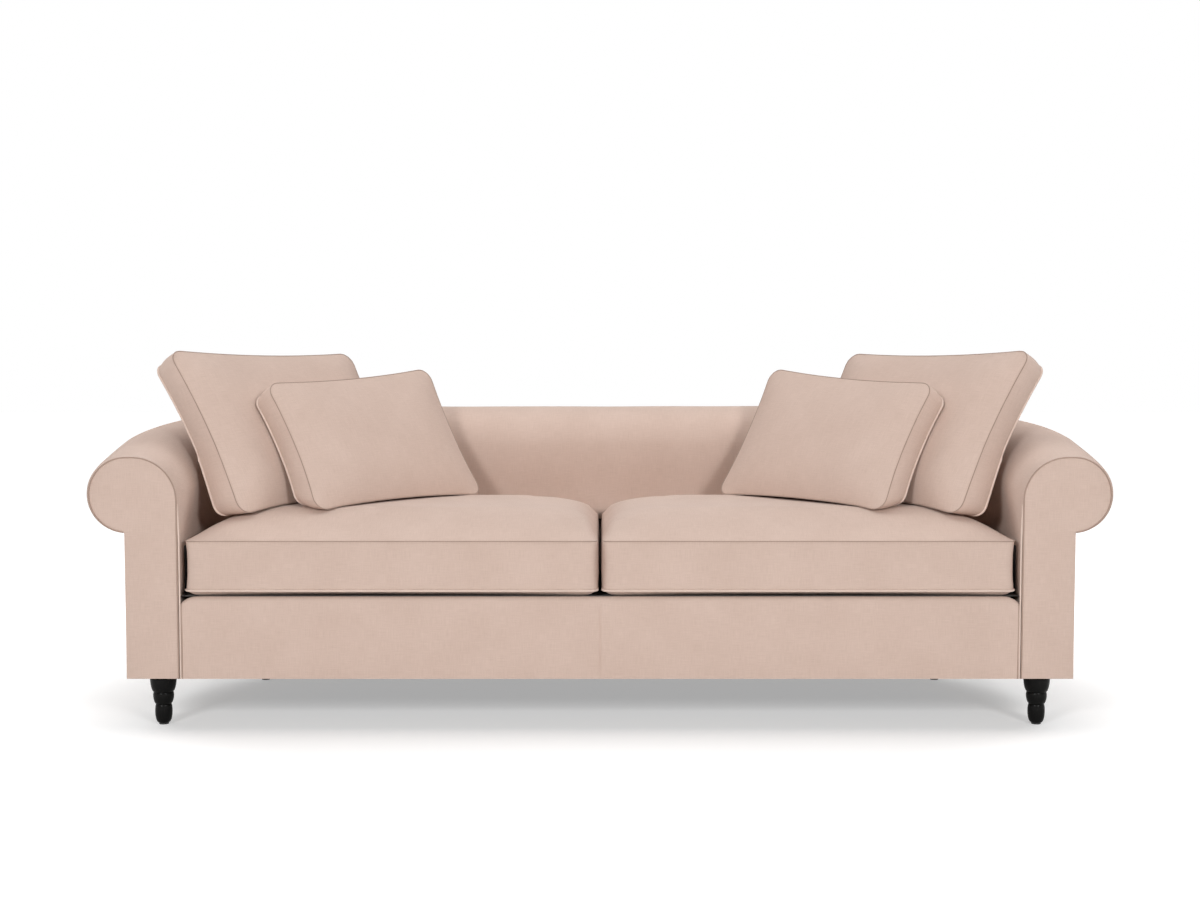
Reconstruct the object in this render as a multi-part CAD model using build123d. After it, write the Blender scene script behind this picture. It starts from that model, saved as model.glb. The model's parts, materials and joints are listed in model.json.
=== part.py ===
from build123d import *
import os
from math import cos, pi, radians, sin, sqrt, tan

# Rolled arm sofa, in millimetres. +Z is up, the front faces -Y and +X is the right-hand end as seen
# from the front. The origin is on the floor, in the middle of the width and of the depth.

# Overall sizes
overall_width = 2300.0
inside_depth = 652.0
arm_height = 617.0
back_height = 700.0
leg_height = 113.0
corner_radius = 400.0
rise_run = 720.0

# Rolled section of the arms and back, from the inner face outwards
inner_arc_radius = 100.0
roll_flat = 14.0
roll_radius = 86.0
post_width = 121.0

# Upholstery
cover_thickness = 2.0
layer_gap = 0.4
inner_padding = 30.0
outer_padding = 22.0
roll_padding = 140.0
border_padding = 12.0
deck_height = 300.0
deck_padding = 19.0
dust_cover_thickness = 1.0
dust_cover_cut = 4.0

# Timber frame
scroll_board_thickness = 25.0
rail_thickness = 28.0
post_depth = 60.0
top_rail_height = 30.0
arm_base_rail_height = 70.0
brace_width = 45.0
brace_spacing = 560.0
corner_block_side = 70.0
back_post_inset = 70.0

# Webbing
strap_width = 60.0
strap_thickness = 2.5
strap_pitch = 105.0

# Legs and their fixings
leg_inset = 54.0
leg_collar_radius = 30.0
leg_collar_height = 9.0
leg_cup_foot_radius = 21.5
leg_bead_radius = 24.0
leg_bead_height = 26.0
leg_neck_radius = 17.0
leg_bulb_radius = 19.3
leg_bulb_height = 45.0
leg_bulb_rise = 26.0
leg_foot_radius = 11.0
glide_height = 3.0
bolt_radius = 4.0
bolt_engagement = 30.0
nut_radius = 10.0
nut_height = 6.0
block_height = 45.0
block_length = 48.0
fit_gap = 0.3

# Seat cushions
seat_border = 125.0
seat_crown = 62.0
seat_side_gap = 13.0
seat_middle_gap = 9.0
seat_back_gap = 6.0
seat_corner = 26.0
seat_waist = 3.0
seat_foam_inset = 8.0
seat_edge_inset = 22.0
seat_shoulder_inset = 70.0
seat_top_inset = 150.0

# Scatter cushions
large_width = 602.0
large_height = 410.0
large_border = 62.0
large_crown = 26.0
large_turn = 55.0
large_lean = 33.0
large_from_arm = 299.0
large_from_back = 335.0
small_width = 534.0
small_height = 338.0
small_border = 58.0
small_crown = 24.0
small_turn = 49.0
small_lean = 32.5
small_from_arm = 462.0
small_from_back = 336.0
scatter_corner = 34.0
scatter_draw_slope = 0.03
draw_stations = (0.25, 0.5, 0.75)
scatter_pad_inset = 7.0
scatter_edge_inset = 12.0
scatter_shoulder_inset = 36.0
scatter_top_inset = 85.0
crown_edge_share = 0.38
crown_shoulder_share = 0.74
least_corner = 6.0
rest_gap = 0.3
settle_steps = 5

# Places worked out from the sizes above
arm_width = inner_arc_radius + roll_flat + roll_radius
inner_x = overall_width / 2 - arm_width
front_y = -(inside_depth + arm_width) / 2
back_face_y = front_y + inside_depth
corner_x = inner_x - corner_radius
corner_y = back_face_y - corner_radius
straight_run = inside_depth - corner_radius
base_z = leg_height
cover_z = base_z + dust_cover_thickness
hollow_top_arm = arm_height - roll_padding
hollow_top_back = back_height - roll_padding
padding_inset = cover_thickness + layer_gap
scroll_front = cover_thickness + layer_gap
scroll_back = scroll_front + scroll_board_thickness
strap_z = deck_height - cover_thickness - deck_padding - strap_thickness

# Flat facets round the rear corners, round the cushions' corners and round their fillings' corners
corner_steps = 7
cushion_steps = 3
filling_steps = 2
facet_share = cos(pi / 4 / corner_steps)

parts = {}


def add(name, *solids):
    parts[name] = Compound(children=list(solids)) if len(solids) > 1 else solids[0]


def add_pair(name, solid):
    """A right-hand piece and its mirror image on the left."""
    parts["right_" + name] = solid
    parts["left_" + name] = solid.mirror(Plane.YZ)


def box(x0, x1, y0, y1, z0, z1):
    return Pos((x0 + x1) / 2, (y0 + y1) / 2, (z0 + z1) / 2) * Box(x1 - x0, y1 - y0, z1 - z0)


def both_sides(solid):
    return [solid, solid.mirror(Plane.YZ)]


def polygon(points):
    return Face(Wire(Polyline(*points, close=True).edges()))


def upright(points, z0, z1):
    """A plan of straight sides, drawn up between two heights."""
    return Pos(0, 0, z0) * extrude(polygon(points), amount=z1 - z0, dir=(0, 0, 1))


# The horseshoe: arms that sweep round wide corners into the back, rising on the way

def top_at(run):
    """Height of the rolled top: level over the scroll board, then rising to the back."""
    share = min(1.0, max(0.0, run - scroll_back) / rise_run)
    return arm_height + (back_height - arm_height) * sin(share * pi / 2)


def station(run):
    """The upright section plane at a distance along the right-hand inner face."""
    if run <= straight_run:
        origin, out = Vector(inner_x, front_y + run, 0), Vector(1, 0, 0)
    else:
        turn = min(pi / 2, (run - straight_run) / corner_radius)
        out = Vector(cos(turn), sin(turn), 0)
        origin = Vector(corner_x, corner_y, 0) + out * corner_radius
    return Plane(origin, x_dir=out, z_dir=out.cross(Vector(0, 0, 1)))


def bend(start, middle, end, smooth):
    """A stretch of a section: one arc, or two chords where it is hidden."""
    if smooth:
        return [ThreePointArc(start, middle, end)]
    return [Line(start, middle), Line(middle, end)]


def rolled_edges(top, inset, smooth=True):
    """Inner face, rolled top and outer face of the section, from the inner foot to the outer foot."""
    arc = inner_arc_radius - inset
    roll = roll_radius - inset
    arc_z = top - inner_arc_radius
    roll_u, roll_z = inner_arc_radius + roll_flat, top - roll_radius
    post_u = post_width - inset
    drop = sqrt(roll**2 - (post_u - roll_u) ** 2)
    slant = sqrt(0.5)

    def on_roll(across, up):
        return (roll_u + roll * across, roll_z + roll * up)

    half = Vector(1 + (post_u - roll_u) / roll, -drop / roll).normalized()
    shoulder = (inner_arc_radius - arc * slant, arc_z + arc * slant)
    crest = (inner_arc_radius, top - inset)
    roll_top = (roll_u, top - inset)
    throat = (post_u, roll_z - drop)
    return [
        Line((inset, cover_z), (inset, arc_z)),
        *bend((inset, arc_z), shoulder, crest, smooth),
        Line(crest, roll_top),
        *bend(roll_top, on_roll(slant, slant), on_roll(1, 0), smooth),
        *bend(on_roll(1, 0), on_roll(half.X, half.Y), throat, smooth),
        Line(throat, (post_u, cover_z)),
    ]


def closed(edges, *points):
    """A wire of the given edges, closed by straight lines through further points."""
    path = [edges[-1] @ 1, *points, edges[0] @ 0]
    return Wire(edges + [Line(a, b) for a, b in zip(path, path[1:])])


def inside_section(top):
    """The inner half of the section, which cushions lean on."""
    edges = rolled_edges(top, 0)[:3]
    return closed(edges, (inner_arc_radius + roll_flat, cover_z))


def padding_section(top, hollow_top):
    edges = rolled_edges(top, padding_inset, smooth=False)
    outer, inner = post_width - outer_padding, inner_padding
    return closed(edges, (outer, cover_z), (outer, hollow_top), (inner, hollow_top), (inner, cover_z))


def cover_section(top):
    """A cloth that is rolled outside and lined with fibre wrap inside."""
    edges = rolled_edges(top, 0)
    lining = rolled_edges(top, cover_thickness, smooth=False)
    back_way = [edge.reversed() for edge in reversed(lining)]
    start, end = edges[0] @ 0, edges[-1] @ 1
    return Wire(edges + [Line(end, back_way[0] @ 0)] + back_way + [Line(back_way[-1] @ 1, start)])


def sweep_arm(section, first_run):
    """A loft of the section from a place near the front of the arm to the end of the corner."""
    corner_run = corner_radius * pi / 2
    runs = [first_run] if first_run < scroll_back else []
    runs += [scroll_back + fit_gap]
    runs += [straight_run + corner_run * i / corner_steps for i in range(corner_steps + 1)]
    return Solid.make_loft([station(run) * section(top_at(run)) for run in runs], ruled=True)


def stretch_back(section):
    """The straight middle of the back, between the two corners."""
    plane = Plane((corner_x, back_face_y, 0), x_dir=(0, 1, 0), z_dir=(1, 0, 0))
    return extrude(plane * Face(section), amount=2 * corner_x, dir=(-1, 0, 0))


def facing_panel(edges, y_from, thickness):
    plane = Plane((inner_x, front_y + y_from, 0), x_dir=(1, 0, 0), z_dir=(0, -1, 0))
    return extrude(plane * Face(closed(edges)), amount=thickness, dir=(0, 1, 0))


def corner_points(reach):
    """Plan of the faceted quarter turn at a distance from the inner face, from the side to the back."""
    radius = corner_radius + reach
    turns = [i * pi / 2 / corner_steps for i in range(corner_steps + 1)]
    return [(corner_x + radius * cos(turn), corner_y + radius * sin(turn)) for turn in turns]


def corner_rail(reach, z0, z1):
    """A quarter-turn rail whose outer face stands at a distance from the inner face."""
    return upright(corner_points(reach) + corner_points(reach - rail_thickness)[::-1], z0, z1)


def horseshoe_plate(reach, y0, z0, z1):
    """A flat sheet that fills the plan of the sofa out to a distance from the inner face."""
    right = [(inner_x + reach, y0)] + corner_points(reach)
    left = [(-x, y) for x, y in reversed(right)]
    return upright(right + left, z0, z1)


arm_cover = sweep_arm(cover_section, cover_thickness)
arm_padding = sweep_arm(lambda top: padding_section(top, hollow_top_arm), scroll_back)
back_cover = stretch_back(cover_section(back_height))
back_padding = stretch_back(padding_section(back_height, hollow_top_back))
add_pair("arm_cover", arm_cover)
add_pair("arm_padding", arm_padding)
board_edges = rolled_edges(arm_height, padding_inset, smooth=False)
add_pair("arm_facing", facing_panel(rolled_edges(arm_height, 0), 0, cover_thickness))
add_pair("scroll_board", facing_panel(board_edges, scroll_front, scroll_board_thickness))
add("back_cover", back_cover)
add("back_padding", back_padding)

# Timber inside the hollow of the arms, corners and back

hollow_u = post_width - outer_padding - fit_gap
rail_x1 = inner_x + hollow_u
rail_x0 = rail_x1 - rail_thickness
rail_y0 = front_y + scroll_back
base_rail_top = base_z + dust_cover_thickness + arm_base_rail_height
arm_rail_top = hollow_top_arm - fit_gap
back_rail_top = hollow_top_back - fit_gap
arm_rail_foot = arm_rail_top - top_rail_height
back_rail_foot = back_rail_top - top_rail_height
rear_y1 = back_face_y + hollow_u
rear_y0 = rear_y1 - rail_thickness
add_pair("arm_base_rail", box(rail_x0, rail_x1, rail_y0, corner_y, cover_z, base_rail_top))
add_pair("arm_top_rail", box(rail_x0, rail_x1, rail_y0, corner_y, arm_rail_foot, arm_rail_top))
add("corner_base_rails", *both_sides(corner_rail(hollow_u, cover_z, base_rail_top)))
add("corner_top_rails", *both_sides(corner_rail(hollow_u, arm_rail_foot, arm_rail_top)))
arm_posts = [
    box(rail_x0, rail_x1, y, y + post_depth, base_rail_top, arm_rail_foot)
    for y in (rail_y0, corner_y - post_depth)
]
add("right_arm_posts", *arm_posts)
add("left_arm_posts", *[post.mirror(Plane.YZ) for post in arm_posts])
back_post_x = [i * (corner_x - back_post_inset) for i in (-1, 0, 1)]
add("back_base_rail", box(-corner_x, corner_x, rear_y0, rear_y1, cover_z, base_rail_top))
add("back_top_rail", box(-corner_x, corner_x, rear_y0, rear_y1, back_rail_foot, back_rail_top))
add(
    "back_posts",
    *[
        box(x - post_depth / 2, x + post_depth / 2, rear_y0, rear_y1, base_rail_top, back_rail_foot)
        for x in back_post_x
    ],
)

# Seat box inside the horseshoe: rails, braces, webbing and deck

well_x = inner_x - layer_gap
well_back = back_face_y - layer_gap
seat_rail_y0 = front_y + cover_thickness + border_padding + 2 * layer_gap
seat_rail_y1 = seat_rail_y0 + rail_thickness
seat_side_x0 = well_x - rail_thickness
seat_rear_y0 = well_back - rail_thickness
add("front_seat_rail", box(-well_x, well_x, seat_rail_y0, seat_rail_y1, cover_z, strap_z))
add("rear_seat_rail", box(-corner_x, corner_x, seat_rear_y0, well_back, cover_z, strap_z))
add_pair("side_seat_rail", box(seat_side_x0, well_x, seat_rail_y1, corner_y, cover_z, strap_z))
add("corner_seat_rails", *both_sides(corner_rail(-layer_gap, cover_z, strap_z)))
brace_foot = cover_z + (strap_z - cover_z) / 3
add(
    "seat_braces",
    *[
        box(x - brace_width / 2, x + brace_width / 2, seat_rail_y1, seat_rear_y0, brace_foot, strap_z)
        for x in (-brace_spacing / 2, brace_spacing / 2)
    ],
)
block_corner_x, block_corner_y = seat_side_x0, seat_rail_y1
corner_block = upright(
    [
        (block_corner_x, block_corner_y),
        (block_corner_x, block_corner_y + corner_block_side),
        (block_corner_x - corner_block_side, block_corner_y),
    ],
    brace_foot,
    strap_z,
)
add("seat_corner_blocks", *both_sides(corner_block))
strap_count = int((2 * corner_x - strap_width) / strap_pitch) + 1
strap_start = -(strap_count - 1) * strap_pitch / 2
add(
    "seat_webbing",
    *[
        box(x - strap_width / 2, x + strap_width / 2, seat_rail_y0, well_back, strap_z, strap_z + strap_thickness)
        for x in [strap_start + i * strap_pitch for i in range(strap_count)]
    ],
)

deck_foot = strap_z + strap_thickness
deck_cloth_foot = deck_height - cover_thickness
add("deck_padding", horseshoe_plate(-layer_gap, seat_rail_y0, deck_foot, deck_cloth_foot))
add("deck_cloth", horseshoe_plate(-layer_gap, seat_rail_y0, deck_cloth_foot, deck_height))

# Front border: a padded panel across the front rail

border_x = inner_x - layer_gap
border_back = seat_rail_y0 - layer_gap
panel = box(-border_x, border_x, front_y, front_y + cover_thickness, cover_z, deck_height)
lip = box(-border_x, border_x, front_y + cover_thickness, border_back, deck_cloth_foot, deck_height)
add("front_border", panel + lip)
pad_y0 = front_y + cover_thickness + layer_gap
add("border_padding", box(-border_x, border_x, pad_y0, border_back, cover_z, deck_cloth_foot - layer_gap))

# Legs, their blocks and fixings

block_room = hollow_u - rail_thickness - inner_padding
block_depth = block_room * facet_share - 2 * fit_gap
block_u = inner_padding + block_room / 2
front_leg = Vector(inner_x + block_u, front_y + leg_inset, 0)
rear_reach = (corner_radius + block_u) * facet_share * sqrt(0.5)
rear_leg = Vector(corner_x + rear_reach, corner_y + rear_reach, 0)
leg_feet = [front_leg, Vector(-front_leg.X, front_leg.Y, 0), rear_leg, Vector(-rear_leg.X, rear_leg.Y, 0)]
bolt_hole_radius = bolt_radius + fit_gap


def turned_leg():
    """A turned leg: small foot, pear-shaped bulb, bead and a flaring cup under a square-edged collar."""
    bulb_foot = glide_height
    bulb_top = bulb_foot + leg_bulb_height
    bead_top = bulb_top + leg_bead_height
    collar_foot = leg_height - leg_collar_height
    outline = [
        Line((0, bulb_foot), (leg_foot_radius, bulb_foot)),
        ThreePointArc(
            (leg_foot_radius, bulb_foot),
            (leg_bulb_radius, bulb_foot + leg_bulb_rise),
            (leg_neck_radius, bulb_top),
        ),
        ThreePointArc(
            (leg_neck_radius, bulb_top),
            (leg_bead_radius, (bulb_top + bead_top) / 2),
            (leg_cup_foot_radius, bead_top),
        ),
        Line((leg_cup_foot_radius, bead_top), (leg_collar_radius, collar_foot)),
        Line((leg_collar_radius, collar_foot), (leg_collar_radius, leg_height)),
        Line((leg_collar_radius, leg_height), (0, leg_height)),
        Line((0, leg_height), (0, bulb_foot)),
    ]
    body = revolve(Plane.XZ * Face(Wire(outline)), Axis.Z)
    hole = Pos(0, 0, leg_height - bolt_engagement / 2) * Cylinder(bolt_hole_radius, bolt_engagement)
    return body - hole


def leg_block(foot, turn):
    block = Pos(0, 0, block_height / 2) * Box(block_depth, block_length, block_height)
    hole = Pos(0, 0, block_height / 2) * Cylinder(bolt_hole_radius, block_height)
    return Location((foot.X, foot.Y, base_z), (0, 0, turn)) * (block - hole)


def leg_nut():
    hexagon = extrude(RegularPolygon(nut_radius, 6), amount=nut_height)
    return hexagon - Pos(0, 0, nut_height / 2) * Cylinder(bolt_hole_radius, nut_height)


leg = turned_leg()
glide = Pos(0, 0, glide_height / 2) * Cylinder(leg_foot_radius, glide_height)
bolt_length = bolt_engagement + block_height + nut_height
bolt = Pos(0, 0, leg_height - bolt_engagement + bolt_length / 2) * Cylinder(bolt_radius, bolt_length)
nut = Pos(0, 0, base_z + block_height) * leg_nut()
leg_places = [Location(foot) for foot in leg_feet]
add("legs", *[place * leg for place in leg_places])
add("leg_glides", *[place * glide for place in leg_places])
add("leg_bolts", *[place * bolt for place in leg_places])
add("leg_nuts", *[place * nut for place in leg_places])
add("leg_blocks", *both_sides(leg_block(front_leg, 0)), *both_sides(leg_block(rear_leg, 45)))

# Cushions


def outline(sides, radii, inset, steps, draw_slope=0.0):
    """Points of a rounded plan whose sides pull in towards their middles."""
    x0, x1, y0, y1 = sides
    rounds = []
    for i, (x, y, across, up) in enumerate(((x0, y0, 1, 1), (x1, y0, -1, 1), (x1, y1, -1, -1), (x0, y1, 1, -1))):
        radius = max(radii[i] - inset, least_corner)
        centre = Vector(x + across * (inset + radius), y + up * (inset + radius))
        turns = [pi + (i + j / steps) * pi / 2 for j in range(steps + 1)]
        rounds.append([centre + Vector(cos(turn), sin(turn)) * radius for turn in turns])
    points = []
    for i, here in enumerate(rounds):
        side = rounds[(i + 1) % 4][0] - here[-1]
        inward = Vector(-side.Y, side.X) * draw_slope
        points += here
        if draw_slope:
            points += [here[-1] + side * share + inward * 4 * share * (1 - share) for share in draw_stations]
    return points


def contour_solid(levels):
    """A solid of flat facets through outlines at a list of heights."""
    rings = [[Vector(point.X, point.Y, z) for point in points] for z, points in levels]
    faces = [polygon(rings[0]), polygon(rings[-1])]
    for low, high in zip(rings, rings[1:]):
        for i in range(len(low)):
            j = (i + 1) % len(low)
            faces.append(polygon([low[i], low[j], high[j], high[i]]))
    return Solid(Shell(faces))


def crown_levels(seam, crown, edge_inset, shoulder_inset, top_inset):
    """Heights and insets of a rounded crown above a seam."""
    edge_z = seam + crown * crown_edge_share
    shoulder_z = seam + crown * crown_shoulder_share
    return [(seam, 0), (edge_z, edge_inset), (shoulder_z, shoulder_inset), (seam + crown, top_inset)]


def seat_cushion():
    """Foam core, sewn cover and plain outer form of the right-hand seat cushion, with a crowned top."""
    sides = (seat_middle_gap / 2, inner_x - seat_side_gap, front_y, back_face_y - seat_back_gap)
    radii = (seat_corner, seat_corner, corner_radius - seat_side_gap, seat_corner)
    foot = deck_height + rest_gap
    seam = foot + seat_border
    crown = crown_levels(seam, seat_crown, seat_edge_inset, seat_shoulder_inset, seat_top_inset)
    levels = [(foot, 0), (foot + seat_border / 2, seat_waist)] + crown
    outer = contour_solid([(z, outline(sides, radii, inset, corner_steps)) for z, inset in levels])

    def filling(lining):
        edge = seat_foam_inset + lining
        shoulder_z, shoulder_inset = crown[2]
        levels = [(foot + lining, edge), (seam, edge), (shoulder_z - lining, shoulder_inset + edge)]
        return contour_solid([(z, outline(sides, radii, inset, cushion_steps)) for z, inset in levels])

    return filling(cover_thickness + layer_gap), outer - filling(cover_thickness), outer


def scatter_cushion(width, height, border, crown, lean):
    """Pad, cover and outer form of a boxed scatter cushion, face up; its foot is level once it leans."""
    radii = (scatter_corner,) * 4
    rise = crown_levels(border / 2, crown, scatter_edge_inset, scatter_shoulder_inset, scatter_top_inset)

    def level(z, inset, steps):
        sides = (-width / 2, width / 2, -z * tan(radians(lean)), height)
        return z, outline(sides, radii, inset, steps, scatter_draw_slope)

    def form(half, steps):
        heights = [(-z, inset) for z, inset in reversed(half)] + half
        return contour_solid([level(z, inset, steps) for z, inset in heights])

    def filling(lining):
        edge = scatter_pad_inset + lining
        shoulder_z, shoulder_inset = rise[2]
        return form([(border / 2, edge), (shoulder_z - lining, shoulder_inset + edge)], filling_steps)

    outer = form(rise, cushion_steps)
    return filling(cover_thickness + layer_gap), outer - filling(cover_thickness), outer


def scatter_plane(from_arm, from_back, turn, lean):
    """Plane of a cushion that stands turned towards the middle and leans back, clear of the seat."""
    level = Vector(-sin(radians(turn)), -cos(radians(turn)), 0)
    across = Vector(0, 0, 1).cross(level)
    front = level * cos(radians(lean)) + Vector(0, 0, 1) * sin(radians(lean))
    clear_z = deck_height + seat_border + seat_crown + large_border
    return Plane((inner_x - from_arm, back_face_y - from_back, clear_z), x_dir=across, z_dir=front)


def settle(piece, supports, direction):
    """Shift that brings a piece along a direction until it stands one gap off its supports."""
    shift = Vector(0, 0, 0)
    for _ in range(settle_steps):
        moved = piece.moved(Location(shift))
        room = min(moved.distance_to(support) for support in supports) - rest_gap
        shift = shift + direction * room
    return shift


def rest_scatter(name, sizes, plane, backing):
    """Sets a scatter cushion down on the seat and back against its backing; returns its outer solid."""
    pad, cover, outer = [plane * solid for solid in scatter_cushion(*sizes)]
    back = Vector(-plane.z_dir.X, -plane.z_dir.Y, 0).normalized()
    shift = settle(outer, [seat_outer], Vector(0, 0, -1))
    shift = shift + settle(outer.moved(Location(shift)), backing, back)
    add_pair(name + "_scatter_pad", pad.moved(Location(shift)))
    add_pair(name + "_scatter_cover", cover.moved(Location(shift)))
    return outer.moved(Location(shift))


seat_core, seat_cover, seat_outer = seat_cushion()
add_pair("seat_cushion_core", seat_core)
add_pair("seat_cushion_cover", seat_cover)
arm_inside = sweep_arm(inside_section, 0)
large_sizes = (large_width, large_height, large_border, large_crown, large_lean)
large_plane = scatter_plane(large_from_arm, large_from_back, large_turn, large_lean)
large_outer = rest_scatter("large", large_sizes, large_plane, [arm_inside, back_cover])
small_sizes = (small_width, small_height, small_border, small_crown, small_lean)
small_plane = scatter_plane(small_from_arm, small_from_back, small_turn, small_lean)
rest_scatter("small", small_sizes, small_plane, [large_outer, back_cover])

# Black cloth under the seat, with a hole round each leg

cut_side = sqrt(block_depth**2 + block_length**2)
dust_cover = horseshoe_plate(post_width - cover_thickness, front_y + cover_thickness, base_z, cover_z)
for foot in leg_feet:
    dust_cover = dust_cover - Pos(foot.X, foot.Y, base_z) * Box(cut_side, cut_side, dust_cover_cut)
add("dust_cover", dust_cover)

os.makedirs("parts", exist_ok=True)
for name, shape in parts.items():
    export_step(shape, "parts/" + name + ".step")
print(len(parts), "nodes")
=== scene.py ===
import json
import math

import bmesh
import bpy
import numpy as np
from mathutils import Matrix, Vector, noise
from mathutils.bvhtree import BVHTree


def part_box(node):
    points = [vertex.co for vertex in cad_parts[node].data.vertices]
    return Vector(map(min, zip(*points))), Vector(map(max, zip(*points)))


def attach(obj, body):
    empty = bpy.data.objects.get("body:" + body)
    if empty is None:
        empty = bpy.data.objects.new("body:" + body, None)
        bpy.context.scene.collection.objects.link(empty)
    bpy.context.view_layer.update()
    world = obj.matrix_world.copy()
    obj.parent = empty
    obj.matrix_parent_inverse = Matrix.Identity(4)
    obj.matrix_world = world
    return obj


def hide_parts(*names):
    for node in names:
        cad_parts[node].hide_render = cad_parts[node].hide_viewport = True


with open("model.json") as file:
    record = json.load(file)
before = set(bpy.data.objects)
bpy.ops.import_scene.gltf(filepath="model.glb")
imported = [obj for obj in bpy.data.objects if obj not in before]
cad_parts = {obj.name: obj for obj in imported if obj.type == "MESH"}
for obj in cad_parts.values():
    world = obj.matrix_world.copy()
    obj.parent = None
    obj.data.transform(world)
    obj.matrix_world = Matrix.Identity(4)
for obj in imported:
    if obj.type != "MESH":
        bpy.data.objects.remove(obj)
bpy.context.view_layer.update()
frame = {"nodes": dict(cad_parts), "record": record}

# Sizes of the sofa in metres, as in the part's own frame: +Z up, front towards -Y
ARM_HEIGHT = 0.617
BACK_HEIGHT = 0.700
INSIDE_DEPTH = 0.652
CORNER_RADIUS = 0.400
RISE_START = 0.0277
RISE_RUN = 0.720
INNER_ARC = 0.100
ROLL_FLAT = 0.014
ROLL_RADIUS = 0.086
POST_WIDTH = 0.121
INNER_X = 0.950
FRONT_Y = -0.426
FOOT_Z = 0.114
DECK_Z = 0.300
LEG_TOP = 0.113

# Places that follow from those sizes
BACK_FACE_Y = FRONT_Y + INSIDE_DEPTH
CORNER_X = INNER_X - CORNER_RADIUS
CORNER_Y = BACK_FACE_Y - CORNER_RADIUS
STRAIGHT_RUN = INSIDE_DEPTH - CORNER_RADIUS
CORNER_RUN = CORNER_RADIUS * math.pi / 2
HALF_RUN = STRAIGHT_RUN + CORNER_RUN + CORNER_X
THROAT_ANGLE = -math.degrees(math.acos((POST_WIDTH - INNER_ARC - ROLL_FLAT) / ROLL_RADIUS))

# Sign of X on each side, and the word for it in names
SIDES = ((1, "right"), (-1, "left"))

# Points along each stretch of the rolled section
INSIDE_STEPS = 40
ARC_STEPS = 22
ROLL_STEPS = 40
OUTSIDE_STEPS = 20
THROAT_DROP = 0.003

# Fullness of the arms and back, which fades towards the facings and the foot
INSIDE_PUFF = 0.008
SWELL_FOOT = 0.455
SWELL_DROP = 0.020
ROLL_PUFF = 0.012
ROLL_PUFF_RUN = 0.018
FACING_FADE = 0.12
FOOT_FADE = 0.1
TOP_RIPPLE = 0.0022
OUTSIDE_RIPPLE = 0.0015
OUTSIDE_START = 0.45

# Front edge of the arm covers, drawn in where they meet the facings
COVER_START = 0.002
COVER_FRONT_RUNS = (COVER_START, 0.005, 0.010)
COVER_EVEN_START = 0.02
COVER_EVEN_COUNT = 128
EDGE_TUCK = 0.0016
EDGE_TUCK_RUN = 0.008

# Arm facings: a puffed panel, with rows set closer together at the throat and at the crest
POST_ROWS = 40
THROAT_ROWS = 14
ROLL_ROWS = 34
CREST_ROWS = 12
FACING_INSET = 0.0012
FACING_SETBACK = 0.0022
FACING_PUFF = 0.0032
FACING_PUFF_RUN = 0.012
FACING_COLUMNS = 29
THROAT_DEPTH = 0.0857
THROAT_BELOW = 0.004
THROAT_BAND = 0.012
THROAT_ABOVE = 0.009
CREST_START = 0.600
CREST_TOP = 0.6155

# Trim of the facings: radius, place and reach of the welt, the cord and the crease; the welt and the crease
# are dark as painted shade, the cord pale as painted highlight
WELT = 0.0017
WELT_INSET = 0.0016
WELT_SETBACK = 0.0008
CORD = 0.0019
CORD_INSET = -0.0030
CORD_SETBACK = 0.0004
CORD_TOP = 0.510
CORD_STEPS = 60
CORD_TUCK = 0.120
CORD_SLIP = 1.3
CORD_SINK = 0.0040
SHADE_CREASE = 0.0011
CREASE_INSET = -0.0066
CREASE_SETBACK = 0.0012
CREASE_DROP = 0.016
CREASE_STEPS = 30
FACING_TRIM_STEPS = 220
FACING_TRIM_SIDES = 10

# Front border: its lip, the seam in its middle and the drop at its ends
BORDER_CLEARANCE = 0.0012
BORDER_SETBACK = 0.001
BORDER_LIP = 0.011
BORDER_LIP_STEPS = 8
BORDER_LIP_REACH = 0.0135
BORDER_LIP_DROP = 0.0002
BORDER_FACE_STEPS = 22
BORDER_MIDDLE = (0.0, 0.0012, 0.0026, 0.006, 0.012)
BORDER_EVEN_START = 0.03
BORDER_EVEN_COUNT = 60
BORDER_END_STEPS = 9
BORDER_TOP_FADE = 0.04
BORDER_FOOT_FADE = 0.03
BORDER_RIPPLE = 0.0012
SEAM_DEPTH = 0.0022
SEAM_WIDTH = 0.0016
SEAM_HOLLOW_DEPTH = 0.0008
SEAM_HOLLOW_WIDTH = 0.009
END_DROP = 0.016
END_DROP_RUN = 0.036
END_DROP_HEIGHT = 0.06

# Boxed cushions: radius of the piping, which is pale as painted highlight, and of the dark seam line, which
# is painted shade; steps of the meshes, and lumps of the filling
PIPING = 0.0026
SEAM_SHADE_LINE = 0.0011
PIPING_SIDES = 8
PLAN_CORNER_STEPS = 33
PLAN_SIDE_STEPS = 60
BOXING_STEPS = 9
LUMPS = 0.003
LUMPY_CROWN = 0.015
SEAM_DIGITS = 4
SEAM_LEVEL = 1e-4
CUSHION_WELD = 2e-5

# Pressure that puffs the cushions, and the frames that it acts for
CLOTH_PRESSURE = 4.0
CLOTH_FRAMES = 20

# Seat cushions: the swell is the part of the crown that is left to the pressure, the cap the most it may add
# Each panel edge, left, right, front and back, has a reach, a power and a roundness
SEAT_TOP_SEAM = 0.4262
SEAT_LOW_SEAM = 0.3145
SEAT_TOP = 0.4873
SEAT_CLEARANCE = 0.001
SEAT_CORNERS = (0.014, 0.014, 0.380, 0.020)
SEAT_DRAW = (0, 0, 0, 0)
SEAT_GRID = (66, 48)
SEAT_SWELL = 0.006
SEAT_CAP = 0.008
SEAT_WAIST = 0.004
SEAT_FOOT_EDGES = ((0.020, 2.3, 1.0),) * 4
SEAT_TOP_EDGES = ((0.340, 3.0, 0.28), (0.170, 2.3, 1.0), (0.170, 2.3, 1.0), (0.170, 2.3, 0.8))

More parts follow.
